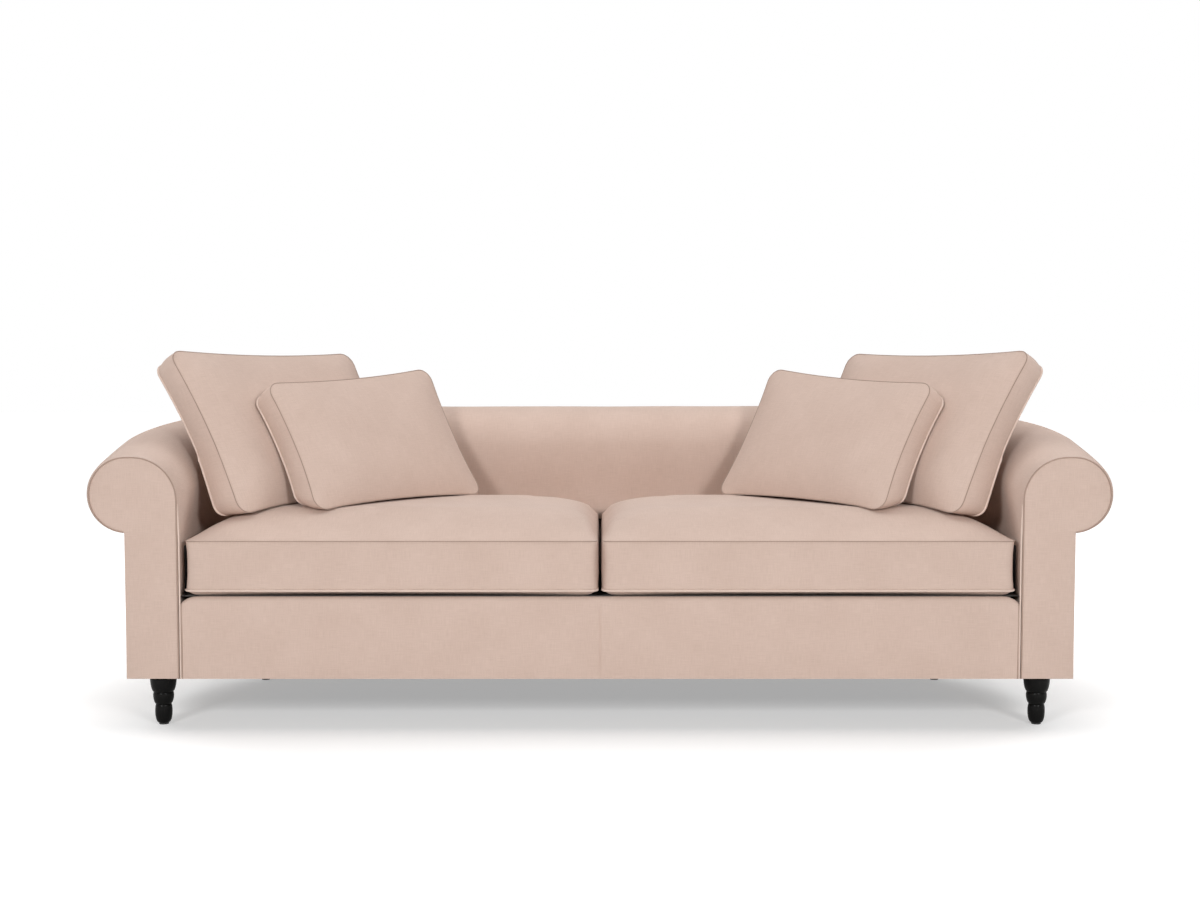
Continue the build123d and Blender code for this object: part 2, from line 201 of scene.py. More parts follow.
# Scatter cushions: turn and lean in degrees, tilt as the rise of the top edge along the cushion
SCATTER_SIZES = {
    "large": dict(width=0.602, height=0.410, border=0.062, crown=0.026, turn=55.0, lean=33.0, tilt=0.024),
    "small": dict(width=0.534, height=0.338, border=0.058, crown=0.024, turn=49.0, lean=32.5, tilt=-0.061),
}
SCATTER_EDGES = ((0.120, 2.3, 1.0),) * 4
SCATTER_CORNERS = (0.030,) * 4
SCATTER_DRAW = (0.017, 0.034, 0.017, 0.034)
SCATTER_GRID = (46, 32)
SCATTER_BACK_FLATTER = 0.008
SCATTER_FACE_FULLER = 0.004
SCATTER_CAP = 0.014
SCATTER_WAIST = -0.004

# How the feet of the scatter cushions settle on the seat
SETTLE_BAND = 0.16
SETTLE_GAP = 0.0006
SETTLE_POWER = 1.5
SETTLE_FACE_HOLD = 0.7
SETTLE_RAY_LIFT = 0.3

# Swells of a turned leg from the foot up: radius and height where each starts and ends, and its fullness
LEG_FOOT = 0.0030
LEG_SWELLS = (
    ((0.0104, LEG_FOOT), (0.0196, 0.0300), 2.2),
    ((0.0196, 0.0300), (0.0172, 0.0462), 2.0),
    ((0.0172, 0.0470), (0.0236, 0.0665), 1.7),
    ((0.0236, 0.0665), (0.0220, 0.0742), 2.0),
    ((0.0220, 0.0750), (0.0300, 0.1060), 1.8),
)
LEG_SWELL_STEPS = 8
LEG_SIDES = 48
LEG_SHOULDER = 0.0002
LEG_UV_RADIUS = 0.02

# Seat deck with its dark lining, a strip of which is turned up at the sides as painted shade in the gaps
# between arms and seat cushions, and the black cloth under the frame
SHEET_CORNER_STEPS = 25
SHEET_ROWS = 60
SHEET_COLUMNS = 71
SHEET_RIM = 0.15
DECK_GAP = 0.0010
DECK_SETBACK = 0.0145
DECK_SAG = 0.004
SHADE_UPTURN = 0.110
UPTURN_SETBACK = 0.035
UPTURN_STEPS = 9
DUST_MARGIN = 0.002
DUST_GAP = 0.0008
DUST_RISE = 0.003

# Floor, world and camera; the camera's pitch is in degrees below level
FLOOR_X = (-14, 14)
FLOOR_Y = (-9, 16)
FLOOR_POINTS = 15
WORLD_LIGHT = 0.095
CAMERA_PLACE = (0.0, -4.2593, 0.8807)
CAMERA_PITCH = 3.706
CAMERA_LENS = 51.45
CAMERA_SENSOR = 36.0


# Mesh helpers

def mesh_object(name, verts, faces, uvs, material):
    """A smooth-shaded object from vertices, faces and one UV pair per face corner."""
    mesh = bpy.data.meshes.new(name)
    mesh.from_pydata([tuple(v) for v in verts], [], [tuple(f) for f in faces])
    layer = mesh.uv_layers.new(name="UVMap")
    layer.data.foreach_set("uv", np.asarray(uvs, float).reshape(-1))
    mesh.materials.append(material)
    mesh.polygons.foreach_set("use_smooth", [True] * len(mesh.polygons))
    mesh.update()
    obj = bpy.data.objects.new(name, mesh)
    bpy.context.scene.collection.objects.link(obj)
    return obj


class Surface:
    """Collects quad grids, with UVs in metres, into one mesh."""

    def __init__(self):
        self.verts, self.faces, self.uvs = [], [], []

    def grid(self, points, uv, flip=False):
        rows, cols = points.shape[:2]
        base = len(self.verts)
        self.verts.extend(points.reshape(-1, 3))
        for i in range(rows - 1):
            for j in range(cols - 1):
                ring = [(i, j), (i, j + 1), (i + 1, j + 1), (i + 1, j)]
                if flip:
                    ring.reverse()
                self.faces.append([base + a * cols + b for a, b in ring])
                self.uvs.extend(uv[a, b] for a, b in ring)

    def build(self, name, material, weld=1e-5):
        obj = mesh_object(name, self.verts, self.faces, self.uvs, material)
        bm = bmesh.new()
        bm.from_mesh(obj.data)
        bmesh.ops.remove_doubles(bm, verts=bm.verts, dist=weld)
        bmesh.ops.dissolve_degenerate(bm, edges=bm.edges, dist=1e-6)
        bm.to_mesh(obj.data)
        bm.free()
        return obj


def smooth_finish(obj):
    """Adds one level of subdivision."""
    modifier = obj.modifiers.new("Smooth", "SUBSURF")
    modifier.levels = modifier.render_levels = 1
    return obj


def second_material(obj, material, start):
    """Gives the faces of an object from a start index on another material."""
    obj.data.materials.append(material)
    slots = [0 if i < start else 1 for i in range(len(obj.data.polygons))]
    obj.data.polygons.foreach_set("material_index", slots)
    return obj


def lengths(points):
    """Distance along a polyline at each of its points."""
    steps = np.linalg.norm(np.diff(points, axis=0), axis=1)
    return np.concatenate([[0.0], np.cumsum(steps)])


def resample(points, count):
    """The same polyline through evenly spaced points."""
    run = lengths(points)
    at = np.linspace(0, run[-1], count)
    return np.stack([np.interp(at, run, points[:, k]) for k in range(points.shape[1])], axis=1)


def arc_points(centre, radius, start, end, count):
    """Points of an arc from one angle to another, in degrees."""
    angles = np.radians(np.linspace(start, end, count))
    return np.stack([centre[0] + radius * np.cos(angles), centre[1] + radius * np.sin(angles)], axis=1)


def upright(out, start, end, count):
    """Points of an upright run at one distance out, from one height to another."""
    return np.stack([np.full(count, out), np.linspace(start, end, count)], axis=1)


def tube_points(path, radius, sides, closed):
    """Rings of a round tube along a path, as a grid of points and its UVs."""
    path = np.asarray(path, float)
    ahead = np.roll(path, -1, axis=0) - np.roll(path, 1, axis=0)
    if not closed:
        ahead[0], ahead[-1] = path[1] - path[0], path[-1] - path[-2]
    ahead /= np.linalg.norm(ahead, axis=1)[:, None]
    aside = [0.31, 0.22, 0.93]
    normal = np.cross(ahead[0], aside)
    normals = []
    for way in ahead:
        normal = normal - way * normal.dot(way)
        normal /= np.linalg.norm(normal)
        normals.append(normal)
    normals = np.array(normals)
    sidewards = np.cross(ahead, normals)
    if closed:
        path = np.vstack([path, path[:1]])
        normals = np.vstack([normals, normals[:1]])
        sidewards = np.vstack([sidewards, sidewards[:1]])
    angle = np.linspace(0, 2 * math.pi, sides + 1)
    ring = np.cos(angle)[None, :, None] * normals[:, None] + np.sin(angle)[None, :, None] * sidewards[:, None]
    points = path[:, None] + radius * ring
    uv = np.stack(np.meshgrid(angle * radius, lengths(path)), axis=-1)
    return points, uv


def soft_noise(point, scale, seed):
    """Smooth noise about zero at a point; each seed shifts it to another place."""
    return noise.noise(Vector(point) * scale + Vector((seed, 2.7 * seed, 5.1)))


# Material helpers

def new_material(name):
    """A node material, with its tree and its shader."""
    material = bpy.data.materials.new(name)
    material.use_nodes = True
    tree = material.node_tree
    shader = next(n for n in tree.nodes if n.type == "BSDF_PRINCIPLED")
    return material, tree, shader


def add_node(tree, kind, inputs=None, **settings):
    """A node whose inputs are linked where a socket is given, and otherwise set."""
    node = tree.nodes.new(kind)
    for key, value in settings.items():
        setattr(node, key, value)
    for key, value in (inputs or {}).items():
        if isinstance(value, bpy.types.NodeSocket):
            tree.links.new(value, node.inputs[key])
        else:
            node.inputs[key].default_value = value
    return node


def math_node(tree, operation, first, second=0.0):
    return add_node(tree, "ShaderNodeMath", {0: first, 1: second}, operation=operation).outputs[0]


def scaled(tree, source, scale):
    return add_node(tree, "ShaderNodeMapping", {"Vector": source, "Scale": scale}).outputs[0]


def fibre(tree, source, scale, detail=2.0):
    """Noise drawn out along the threads."""
    vector = scaled(tree, source, scale)
    return add_node(tree, "ShaderNodeTexNoise", {"Vector": vector, "Scale": 1.0, "Detail": detail}).outputs[0]


def set_sockets(shader, values):
    """Sets uniform values on the shader's own sockets."""
    for socket, value in values.items():
        shader.inputs[socket].default_value = value


def two_tone(tree, shader, source, dark, light, low=0.0, high=1.0):
    """Base colour that goes from dark to light as the source goes from low to high."""
    node = add_node(tree, "ShaderNodeValToRGB", {"Fac": source})
    for element, position, colour in zip(node.color_ramp.elements, (low, high), (dark, light)):
        element.position = position
        element.color = (*colour, 1)
    tree.links.new(node.outputs[0], shader.inputs["Base Color"])


def relief(tree, shader, height, strength, distance):
    """Bump from a height."""
    inputs = {"Height": height, "Strength": strength, "Distance": distance}
    tree.links.new(add_node(tree, "ShaderNodeBump", inputs).outputs[0], shader.inputs["Normal"])


def rough_between(tree, shader, source, low, high):
    """Roughness that goes from low to high with the source."""
    inputs = {"Value": source, "To Min": low, "To Max": high}
    tree.links.new(add_node(tree, "ShaderNodeMapRange", inputs).outputs[0], shader.inputs["Roughness"])


def seen_rays(tree):
    """1 for rays that show the background: from the camera, in gloss or through glass."""
    path = add_node(tree, "ShaderNodeLightPath")
    seen = math_node(tree, "MAXIMUM", path.outputs["Is Camera Ray"], path.outputs["Is Glossy Ray"])
    return math_node(tree, "MAXIMUM", seen, path.outputs["Is Transmission Ray"])


# Materials

def woven(name, dark, light, thread=0.0011, slub=0.35, bump=0.25):
    """Plain-weave cloth: crossed threads with slubs, slight mottling and a soft sheen."""
    material, tree, shader = new_material(name)
    uv = add_node(tree, "ShaderNodeTexCoord").outputs["UV"]
    wave = {"Vector": uv, "Scale": 0.314 / thread, "Distortion": 0.6, "Detail": 1.0, "Detail Scale": 2.0}
    bands = []
    for direction in ("X", "Y"):
        node = add_node(tree, "ShaderNodeTexWave", wave, wave_type="BANDS", bands_direction=direction)
        bands.append(node.outputs["Fac"])
    weave = math_node(tree, "MULTIPLY", bands[0], bands[1])
    slub_length, slub_width = 34.0, 620.0
    along = fibre(tree, uv, (slub_length, slub_width, 1.0))
    across = fibre(tree, uv, (slub_width, slub_length, 1.0))
    slubs = math_node(tree, "ADD", along, across)
    mottle = fibre(tree, uv, (9.0, 9.0, 9.0), detail=4.0)
    tone = math_node(tree, "MULTIPLY_ADD", slubs, slub)
    tone.node.inputs[2].default_value = -slub
    tone = math_node(tree, "ADD", tone, math_node(tree, "MULTIPLY", weave, 0.25))
    tone = math_node(tree, "ADD", tone, math_node(tree, "MULTIPLY", mottle, 0.3))
    two_tone(tree, shader, tone, dark, light, high=0.5)
    height = math_node(tree, "ADD", weave, math_node(tree, "MULTIPLY", slubs, 0.6))
    relief(tree, shader, height, strength=bump, distance=0.0006)
    set_sockets(
        shader,
        {"Roughness": 0.85, "Sheen Weight": 0.12, "Sheen Roughness": 0.5, "Specular IOR Level": 0.2},
    )
    return material


def lacquer(name):
    """Black gloss lacquer over turned wood."""
    material, tree, shader = new_material(name)
    where = add_node(tree, "ShaderNodeTexCoord").outputs["Object"]
    grain = fibre(tree, where, (60.0, 60.0, 9.0), detail=4.0)
    two_tone(tree, shader, grain, dark=(0.003, 0.003, 0.003), light=(0.007, 0.0065, 0.006))
    rough_between(tree, shader, grain, low=0.26, high=0.40)
    relief(tree, shader, grain, strength=0.05, distance=0.0005)
    set_sockets(shader, {"Specular IOR Level": 0.03, "Coat Weight": 0.12, "Coat Roughness": 0.09})
    return material


def timber(name):
    """Planed frame timber with growth rings and fine pores."""
    material, tree, shader = new_material(name)
    where = add_node(tree, "ShaderNodeTexCoord").outputs["Object"]
    layers = scaled(tree, where, (4.0, 4.0, 22.0))
    wave = {"Vector": layers, "Scale": 3.0, "Distortion": 5.0, "Detail": 3.0}
    rings = add_node(tree, "ShaderNodeTexWave", wave, wave_type="BANDS", bands_direction="Z").outputs["Fac"]
    pores = fibre(tree, where, (30.0, 220.0, 500.0), detail=3.0)
    ring_tone = math_node(tree, "MULTIPLY", rings, 0.6)
    pore_tone = math_node(tree, "MULTIPLY", pores, 0.4)
    tone = math_node(tree, "ADD", ring_tone, pore_tone)
    two_tone(tree, shader, tone, dark=(0.30, 0.18, 0.09), light=(0.56, 0.38, 0.21))
    relief(tree, shader, pores, strength=0.2, distance=0.0006)
    set_sockets(shader, {"Roughness": 0.6})
    return material


def speckled(name, dark, light, fineness, roughness, metallic=0.0):
    """A fine-grained surface such as plated steel, moulded plastic or bonded cloth."""
    material, tree, shader = new_material(name)
    where = add_node(tree, "ShaderNodeTexCoord").outputs["Object"]
    grain = fibre(tree, where, (fineness, fineness, fineness), detail=4.0)
    two_tone(tree, shader, grain, dark, light, low=0.3, high=0.7)
    relief(tree, shader, grain, strength=0.15, distance=0.0004)
    rough_between(tree, shader, grain, low=roughness - 0.06, high=roughness + 0.06)
    set_sockets(shader, {"Metallic": metallic})
    return material


def grey(level):
    return (level, level, level)


cloth = woven("blush_weave", (0.560, 0.415, 0.345), (0.700, 0.545, 0.470))
# Pale cloth for the cushion piping and the facing cord: its paleness is painted highlight along lit edges
piping_painted_highlight_cloth = woven("blush_piping_painted_highlight", (0.68, 0.52, 0.44), (0.80, 0.66, 0.58), slub=0.25)
# Dark cloth for the cushions' second seam line: painted shade in the seam
seam_painted_shade_cloth = woven("seam_painted_shade", (0.36, 0.255, 0.205), (0.45, 0.330, 0.275), slub=0.25)
# Dark cloth for the facing welt and crease: painted shade along the facing's edges
welt_painted_shade_cloth = woven("facing_welt_painted_shade", (0.36, 0.250, 0.200), (0.47, 0.345, 0.285), slub=0.25)
# Dark lining for the seat deck; its turned-up strip at the sides is painted shade
deck_cloth = woven("deck_lining_and_painted_shade", (0.035, 0.027, 0.023), (0.070, 0.054, 0.046), thread=0.0014)
strap_cloth = woven("strap_webbing", (0.16, 0.11, 0.06), (0.30, 0.22, 0.14), thread=0.003, bump=0.5)
black_lining = speckled("black_lining", grey(0.006), grey(0.016), fineness=900.0, roughness=0.9)
leg_lacquer = lacquer("black_lacquer")
SLOT_MATERIALS = {
    "upholstery": cloth,
    "foam": speckled("pad_foam", (0.60, 0.56, 0.46), (0.72, 0.68, 0.58), fineness=500.0, roughness=0.9),
    "lining": black_lining,
    "webbing": strap_cloth,
    "timber": timber("frame_timber"),
    "leg_lacquer": leg_lacquer,
    "steel": speckled(
        "plated_steel", (0.42, 0.42, 0.43), (0.62, 0.62, 0.63), fineness=700.0, roughness=0.35, metallic=1.0
    ),
    "glide": speckled("glide_plastic", grey(0.010), grey(0.022), fineness=800.0, roughness=0.5),
}


# Horseshoe: rolled arms that sweep round into the back

def top_at(run):
    """Height of the roll at a distance from the front along the inner face."""
    share = min(1.0, max(0.0, run - RISE_START) / RISE_RUN)
    return ARM_HEIGHT + (BACK_HEIGHT - ARM_HEIGHT) * math.sin(share * math.pi / 2)


def rolled_outline(top, inset=0.0, puff=0.0, bulge=0.0):
    """Distance out from the inner face and height, from the inner foot over the roll to the outer foot."""
    arc_centre = (INNER_ARC, top - INNER_ARC)
    roll_centre = (INNER_ARC + ROLL_FLAT, top - ROLL_RADIUS)
    roll = arc_points(roll_centre, ROLL_RADIUS - inset, 90, THROAT_ANGLE, ROLL_STEPS)
    fuller = 1 + bulge / ROLL_RADIUS * np.sin(np.linspace(0, math.pi, ROLL_STEPS))[:, None]
    roll = roll_centre + (roll - roll_centre) * fuller
    inside = np.vstack(
        [
            upright(inset, FOOT_Z, top - INNER_ARC, INSIDE_STEPS)[:-1],
            arc_points(arc_centre, INNER_ARC - inset, 180, 90, ARC_STEPS),
        ]
    )
    swell = np.clip((inside[:, 1] - SWELL_FOOT) / (top - SWELL_DROP - SWELL_FOOT), 0, 1)
    inside[:, 0] -= puff * np.sin(math.pi * swell) ** 2
    outside = upright(POST_WIDTH - inset, roll[-1][1] - THROAT_DROP, FOOT_Z, OUTSIDE_STEPS)
    return np.vstack([inside, roll, outside])


def station(run):
    """Point of the right-hand inner face at a distance from the front, and the way outwards there."""
    if run <= STRAIGHT_RUN:
        return np.array([INNER_X, FRONT_Y + run]), np.array([1.0, 0.0])
    turn = (run - STRAIGHT_RUN) / CORNER_RADIUS
    if turn < math.pi / 2:
        out = np.array([math.cos(turn), math.sin(turn)])
        return np.array([CORNER_X, CORNER_Y]) + CORNER_RADIUS * out, out
    return np.array([CORNER_X - (run - STRAIGHT_RUN - CORNER_RUN), BACK_FACE_Y]), np.array([0.0, 1.0])


def horseshoe():
    """Cover of both arms and the back: the rolled section swept from one facing round to the other."""
    even_runs = np.linspace(COVER_EVEN_START, HALF_RUN, COVER_EVEN_COUNT)
    runs = np.concatenate([COVER_FRONT_RUNS, even_runs])
    right = []
    for run in runs:
        origin, out = station(run)
        inset = EDGE_TUCK * max(0.0, 1 - (run - COVER_START) / EDGE_TUCK_RUN) ** 2
        puff = INSIDE_PUFF * min(1.0, run / FACING_FADE)
        bulge = ROLL_PUFF * (1 - math.exp(-run / ROLL_PUFF_RUN)) * max(0.0, 1 - run / HALF_RUN) ** 0.5
        flat = rolled_outline(top_at(run), inset, puff, bulge)
        right.append(np.column_stack([origin + flat[:, :1] * out, flat[:, 1]]))
    right = np.array(right)
    left = right[::-1][1:] * [-1, 1, 1]
    points = np.concatenate([right, left])
    along = np.concatenate([runs, 2 * HALF_RUN - runs[::-1][1:]])
    around = np.array([lengths(row) for row in points])
    for i, row in enumerate(points):
        from_facing = min(along[i], 2 * HALF_RUN - along[i])
        for j, (x, y, z) in enumerate(row):
            lift = min(1.0, from_facing / FACING_FADE) * min(1.0, (z - FOOT_Z) / FOOT_FADE)
            row[j, 2] += TOP_RIPPLE * lift * soft_noise((x, y, z), scale=4.5, seed=3.0)
            if around[i, j] > OUTSIDE_START:
                row[j, 1] += OUTSIDE_RIPPLE * lift * soft_noise((x, y, z), scale=5.5, seed=8.0)
    uv = np.stack([around, np.repeat(along[:, None], around.shape[1], axis=1)], axis=-1)
    surface = Surface()
    surface.grid(points, uv, flip=True)
    return surface.build("arms_and_back", cloth)


# Arm facings

def facing_rows():
    """Heights, and the inner and outer edge of the scroll panel at each."""
    outline = rolled_outline(ARM_HEIGHT, FACING_INSET)
    crest = int(np.argmax(outline[:, 1]))
    inner, outer = outline[: crest + 1], outline[crest:][::-1]
    throat = ARM_HEIGHT - ROLL_RADIUS - THROAT_DEPTH
    heights = np.concatenate(
        [
            np.linspace(FOOT_Z, throat - THROAT_BELOW, POST_ROWS),
            throat - THROAT_BELOW + THROAT_BAND * np.linspace(0, 1, THROAT_ROWS)[1:] ** 1.5,
            np.linspace(throat + THROAT_ABOVE, CREST_START, ROLL_ROWS),
            CREST_TOP - (CREST_TOP - CREST_START) * np.linspace(1, 0, CREST_ROWS)[1:] ** 2,
        ]
    )
    left = np.interp(heights, inner[:, 1], inner[:, 0])
    right = np.interp(heights, outer[:, 1], outer[:, 0])
    return heights, left, right


def arm_facing(name, side):
    """Scroll panel on the front of an arm, puffed out from its edge."""
    heights, left, right = facing_rows()
    columns = 0.5 - 0.5 * np.cos(np.linspace(0, math.pi, FACING_COLUMNS))
    across = left[:, None] + (right - left)[:, None] * columns[None]
    up = np.repeat(heights[:, None], len(columns), axis=1)
    edge = np.minimum.reduce([across - left[:, None], right[:, None] - across, up - FOOT_Z, ARM_HEIGHT - up])
    puff = FACING_PUFF * (1 - np.exp(-np.maximum(edge, 0) / FACING_PUFF_RUN))
    points = np.stack([side * (INNER_X + across), FRONT_Y + FACING_SETBACK - puff, up], axis=-1)
    surface = Surface()
    surface.grid(points, np.stack([across, up], axis=-1), flip=side < 0)
    return surface.build(name, cloth)


def facing_piping(name, side):
    """Welt round a facing, then a crease and a cord up its straight inner edge; welt and crease are dark as
    painted shade, the cord pale as painted highlight.
    """
    welt = rolled_outline(ARM_HEIGHT, WELT_INSET)[:-OUTSIDE_STEPS]
    welt = np.insert(welt, 1, WELT_SETBACK, axis=1)
    crease = upright(CREASE_INSET, FOOT_Z, DECK_Z - CREASE_DROP, CREASE_STEPS)
    crease = np.insert(crease, 1, CREASE_SETBACK, axis=1)
    heights = np.linspace(FOOT_Z, CORD_TOP, CORD_STEPS)
    tuck = np.clip((heights - CORD_TOP + CORD_TUCK) / CORD_TUCK, 0, 1) ** 2
    cord = np.stack([CORD_INSET * (1 - CORD_SLIP * tuck), CORD_SETBACK + CORD_SINK * tuck, heights], axis=1)
    surface = Surface()
    counts = []
    for path, radius in ((welt, WELT), (crease, SHADE_CREASE), (cord, CORD)):
        path = (path + [INNER_X, FRONT_Y, 0]) * [side, 1, 1]
        points, uv = tube_points(resample(path, FACING_TRIM_STEPS), radius, FACING_TRIM_SIDES, False)
        surface.grid(points, uv)
        counts.append(len(surface.faces))
    return second_material(surface.build(name, welt_painted_shade_cloth), piping_painted_highlight_cloth, counts[1])


# Front border

def front_border():
    """Cover of the front rail, with a lip at its top, a seam in its middle and ends that drop a little."""
    half = INNER_X - BORDER_CLEARANCE
    even_end = half - BORDER_EVEN_START
    right = np.concatenate(
        [
            BORDER_MIDDLE,
            np.linspace(BORDER_EVEN_START, even_end, BORDER_EVEN_COUNT),
            even_end + BORDER_EVEN_START * np.linspace(0, 1, BORDER_END_STEPS)[1:],
        ]
    )
    xs = np.concatenate([-right[::-1][:-1], right])
    lip_foot = DECK_Z - BORDER_LIP
    turn = np.radians(np.linspace(0, 90, BORDER_LIP_STEPS))
    profile = np.vstack(
        [
            upright(0.0, FOOT_Z, lip_foot, BORDER_FACE_STEPS)[:-1],
            np.stack([BORDER_LIP - BORDER_LIP * np.cos(turn), lip_foot + BORDER_LIP * np.sin(turn)], axis=1),
            [[BORDER_LIP_REACH, DECK_Z - BORDER_LIP_DROP]],
        ]
    )
    points = np.zeros((len(xs), len(profile), 3))
    for i, x in enumerate(xs):
        seam = SEAM_DEPTH * math.exp(-((x / SEAM_WIDTH) ** 2))
        seam += SEAM_HOLLOW_DEPTH * math.exp(-((x / SEAM_HOLLOW_WIDTH) ** 2))
        drop = END_DROP * max(0.0, 1 - (half - abs(x)) / END_DROP_RUN) ** 2
        for j, (back, up) in enumerate(profile):
            face = min(1.0, (DECK_Z - up) / BORDER_TOP_FADE) * min(1.0, (up - FOOT_Z) / BORDER_FOOT_FADE)
            wave = BORDER_RIPPLE * face * soft_noise((x, 0, up), scale=6.0, seed=1.0)
            fall = drop * max(0.0, (up - DECK_Z + END_DROP_HEIGHT) / END_DROP_HEIGHT)
            points[i, j] = (x, FRONT_Y + BORDER_SETBACK + back + seam * face + wave, up - fall)
    uv = np.stack([points[:, :, 0], np.repeat(lengths(profile)[None], len(xs), axis=0)], axis=-1)
    surface = Surface()
    surface.grid(points, uv, flip=True)
    return surface.build("front_border_cover", cloth)


# Boxed cushions

def rounded_plan(sides, radii, draw_slopes):
    """Four sides of a rounded plan, each from the middle of one corner to the middle of the next."""
    x0, x1, y0, y1 = sides
    corners = ((x0, y0, 1, 1), (x1, y0, -1, 1), (x1, y1, -1, -1), (x0, y1, 1, -1))
    arcs = []
    for i, (x, y, across, up) in enumerate(corners):
        centre = (x + across * radii[i], y + up * radii[i])
        arcs.append(arc_points(centre, radii[i], 180 + 90 * i, 270 + 90 * i, PLAN_CORNER_STEPS))
    middle = PLAN_CORNER_STEPS // 2
    runs = []
    for i in range(4):
        here, there = arcs[i], arcs[(i + 1) % 4]
        start, end = here[-1], there[0]
        side = end - start
        share = np.linspace(0, 1, PLAN_SIDE_STEPS)[1:-1, None]
        inward = np.array([-side[1], side[0]]) * draw_slopes[i]
        straight = start + side * share + inward * 4 * share * (1 - share)
        runs.append(np.vstack([here[middle:], straight, there[: middle + 1]]))
    return runs


def coons(runs, columns, rows):
    """A grid that fills four boundary runs: front, right, back and left, in turning order."""
    front, right = resample(runs[0], columns), resample(runs[1], rows)
    back, left = resample(runs[2], columns)[::-1], resample(runs[3], rows)[::-1]
    s = np.linspace(0, 1, columns)[None, :, None]
    t = np.linspace(0, 1, rows)[:, None, None]
    ruled = (1 - t) * front[None] + t * back[None] + (1 - s) * left[:, None] + s * right[:, None]
    tie = (1 - s) * (1 - t) * front[0] + s * (1 - t) * front[-1] + (1 - s) * t * back[0] + s * t * back[-1]
    return ruled - tie


def crown_shape(grid, edges):
    """Rise of a stuffed panel; each edge, left, right, front and back, has a reach, power and roundness."""
    rows, columns = grid.shape[:2]
    rise = np.ones((rows, columns))
    for lines, pair, turned in ((grid, edges[:2], False), (grid.transpose(1, 0, 2), edges[2:], True)):
        runs = np.array([lengths(line) for line in lines])
        for near, (reach, power, roundness) in zip((runs, runs[:, -1:] - runs), pair):
            share = (1 - (1 - np.clip(near / reach, 0, 1)) ** power) ** roundness
            rise *= share.T if turned else share
    return rise


def rim_loop(grid):
    """The points round the rim of a grid, without the first again at the end."""
    return np.vstack([grid[0, :-1], grid[:-1, -1], grid[-1, :0:-1], grid[:0:-1, 0]])


def inflate(obj, pinned, cap):
    """Puffs the panels out between their sewn seams by cloth pressure, within a cap."""
    group = obj.vertex_groups.new(name="sewn")
    group.add([int(i) for i in pinned], 1.0, "REPLACE")
    cloth_modifier = obj.modifiers.new("Cloth", "CLOTH")
    settings = cloth_modifier.settings
    settings.quality = 5
    settings.mass = 0.25
    settings.tension_stiffness = 12
    settings.compression_stiffness = 12
    settings.shear_stiffness = 6
    settings.bending_stiffness = 0.4
    settings.use_pressure = True
    settings.uniform_pressure_force = CLOTH_PRESSURE
    settings.vertex_group_mass = "sewn"
    settings.effector_weights.gravity = 0
    cloth_modifier.collision_settings.use_collision = False
    rest = np.array([v.co for v in obj.data.vertices])
    scene = bpy.context.scene
    for step in range(1, CLOTH_FRAMES + 1):
        scene.frame_set(step)
    graph = bpy.context.evaluated_depsgraph_get()
    moved = np.array([v.co for v in obj.evaluated_get(graph).data.vertices])
    obj.modifiers.remove(cloth_modifier)
    scene.frame_set(1)
    shift = moved - rest
    size = np.linalg.norm(shift, axis=1)[:, None]
    shift *= np.minimum(1.0, cap / np.maximum(size, 1e-9))
    obj.data.vertices.foreach_set("co", (rest + shift).reshape(-1))
    obj.vertex_groups.clear()
    obj.data.update()


def boxing_strip(rim, foot, seam, waist):
    """Strip between the two seams, drawn in at its waist, as a grid of points and its UVs."""
    loop = np.vstack([rim, rim[:1]])
    run = lengths(loop)
    ahead = np.roll(rim, -1, axis=0) - np.roll(rim, 1, axis=0)
    ahead /= np.linalg.norm(ahead, axis=1)[:, None]
    inward = np.stack([-ahead[:, 1], ahead[:, 0]], axis=1)
    inward = np.vstack([inward, inward[:1]])
    strip, strip_uv = [], []
    for share in np.linspace(0, 1, BOXING_STEPS):
        pull = waist * 4 * share * (1 - share)
        height = np.full(len(loop), foot + (seam - foot) * share)
        strip.append(np.column_stack([loop + inward * pull, height]))
        strip_uv.append(np.column_stack([run, height]))
    return np.array(strip), np.array(strip_uv)


def crease_seams(obj, rims):
    """Keeps the seams sharp under subdivision; returns the vertices that are sewn."""
    seam_points = {tuple(np.round(p, SEAM_DIGITS)) for rim in rims for p in rim}
    heights = [v.co.z for v in obj.data.vertices]
    pinned = [v.index for v in obj.data.vertices if tuple(np.round(v.co, SEAM_DIGITS)) in seam_points]
    sewn = set(pinned)
    sharpness = []
    for edge in obj.data.edges:
        a, b = edge.vertices
        level = abs(heights[a] - heights[b]) < SEAM_LEVEL
        sharpness.append(1.0 if level and a in sewn and b in sewn else 0.0)
    crease = obj.data.attributes.new("crease_edge", "FLOAT", "EDGE")
    crease.data.foreach_set("value", sharpness)
    return pinned


def boxed_cushion(name, runs, grid_size, seams, crowns, edges, waist, seed):
    """Two panels and a boxing strip; returns the object, its two seam loops and its sewn vertices."""
    grid = coons(runs, *grid_size)
    surface = Surface()
    rims = []
    for level, crown, panel_edges, sign in zip(seams, crowns, edges, (-1, 1)):
        shape = crown_shape(grid, panel_edges)
        bumps = np.array([[soft_noise((x, y, sign), scale=5.0, seed=seed) for x, y in row] for row in grid])
        lumps = LUMPS if crown > LUMPY_CROWN else 0.0
        rise = crown * shape + lumps * bumps * shape
        points = np.dstack([grid, level + sign * rise])
        surface.grid(points, grid, flip=sign < 0)
        rims.append(rim_loop(points))
    surface.grid(*boxing_strip(rims[0][:, :2], *seams, waist))
    obj = surface.build(name, cloth, CUSHION_WELD)
    return obj, rims, crease_seams(obj, rims)


